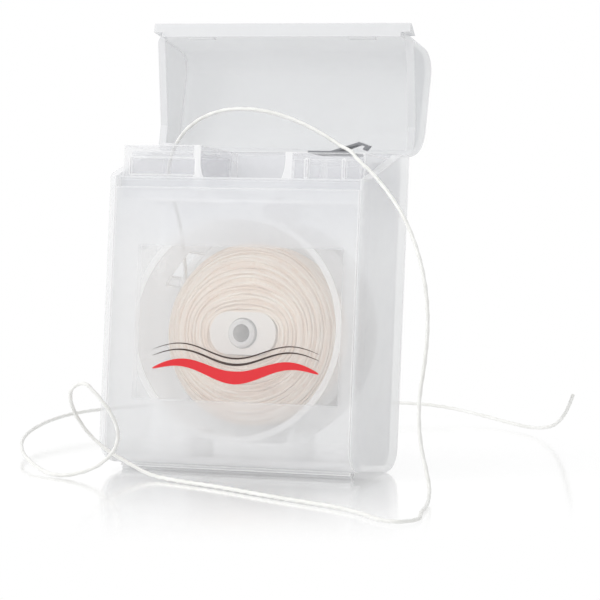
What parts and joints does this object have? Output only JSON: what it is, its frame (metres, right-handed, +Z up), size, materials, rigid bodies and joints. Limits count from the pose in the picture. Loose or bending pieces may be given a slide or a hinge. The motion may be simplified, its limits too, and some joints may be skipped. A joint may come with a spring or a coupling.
{
  "type": "dental floss dispenser",
  "caption": "Pocket floss dispenser with a flip lid, a hinged front cover over a turning bobbin, a thread eyelet, a steel cutter and a length of floss drawn out over the table.",
  "frame": {"origin": "on the table, under the middle of the standing dispenser's bounding box with its lid open, floss not counted", "axes": "+Z up from the table, -Y towards the side that the front cover faces, +X to the cutter's side; the case leans back 6.4 degrees, because it stands on the hinge lip under its front and on its rounded heel"},
  "size_m": [0.101, 0.1457, 0.0732],
  "materials": {
    "shell": "frosted translucent polypropylene",
    "cover": "frosted translucent polypropylene",
    "label": "clear film",
    "insert": "milky polypropylene",
    "steel": "plain spring steel",
    "sleeve": "plain",
    "wound_floss": "waxed thread",
    "floss": "waxed thread"
  },
  "bodies": {
    "case": {"case": "shell", "insert": "insert", "cutter": "steel", "floss_lead": "floss", "floss_arc": "floss", "floss_over_rim": "floss", "floss_tail": "floss"},
    "cover": {"front_cover": "cover", "front_label": "label"},
    "lid": {"lid": "shell"},
    "bobbin": {"bobbin_sleeve": "sleeve", "bobbin_floss": "wound_floss", "bobbin_strand": "wound_floss"}
  },
  "joints": [
    {"name": "lid_hinge", "type": "hinge", "parent": "case", "child": "lid", "pos_m": [0, 0.00713, 0.05129], "axis": [-1, 0, 0], "range_deg": [-99.5, 70], "deforming": ["floss_arc", "floss_over_rim"]},
    {"name": "front_cover_hinge", "type": "hinge", "parent": "case", "child": "cover", "pos_m": [0, -0.013, 0.0003], "axis": [1, 0, 0], "range_deg": [0, 36]},
    {"name": "bobbin_spin", "type": "hinge", "parent": "case", "child": "bobbin", "pos_m": [0, -0.01536, 0.02333], "axis": [0, 0.9938, -0.111], "continuous": true, "deforming": ["floss_lead"]}
  ]
}
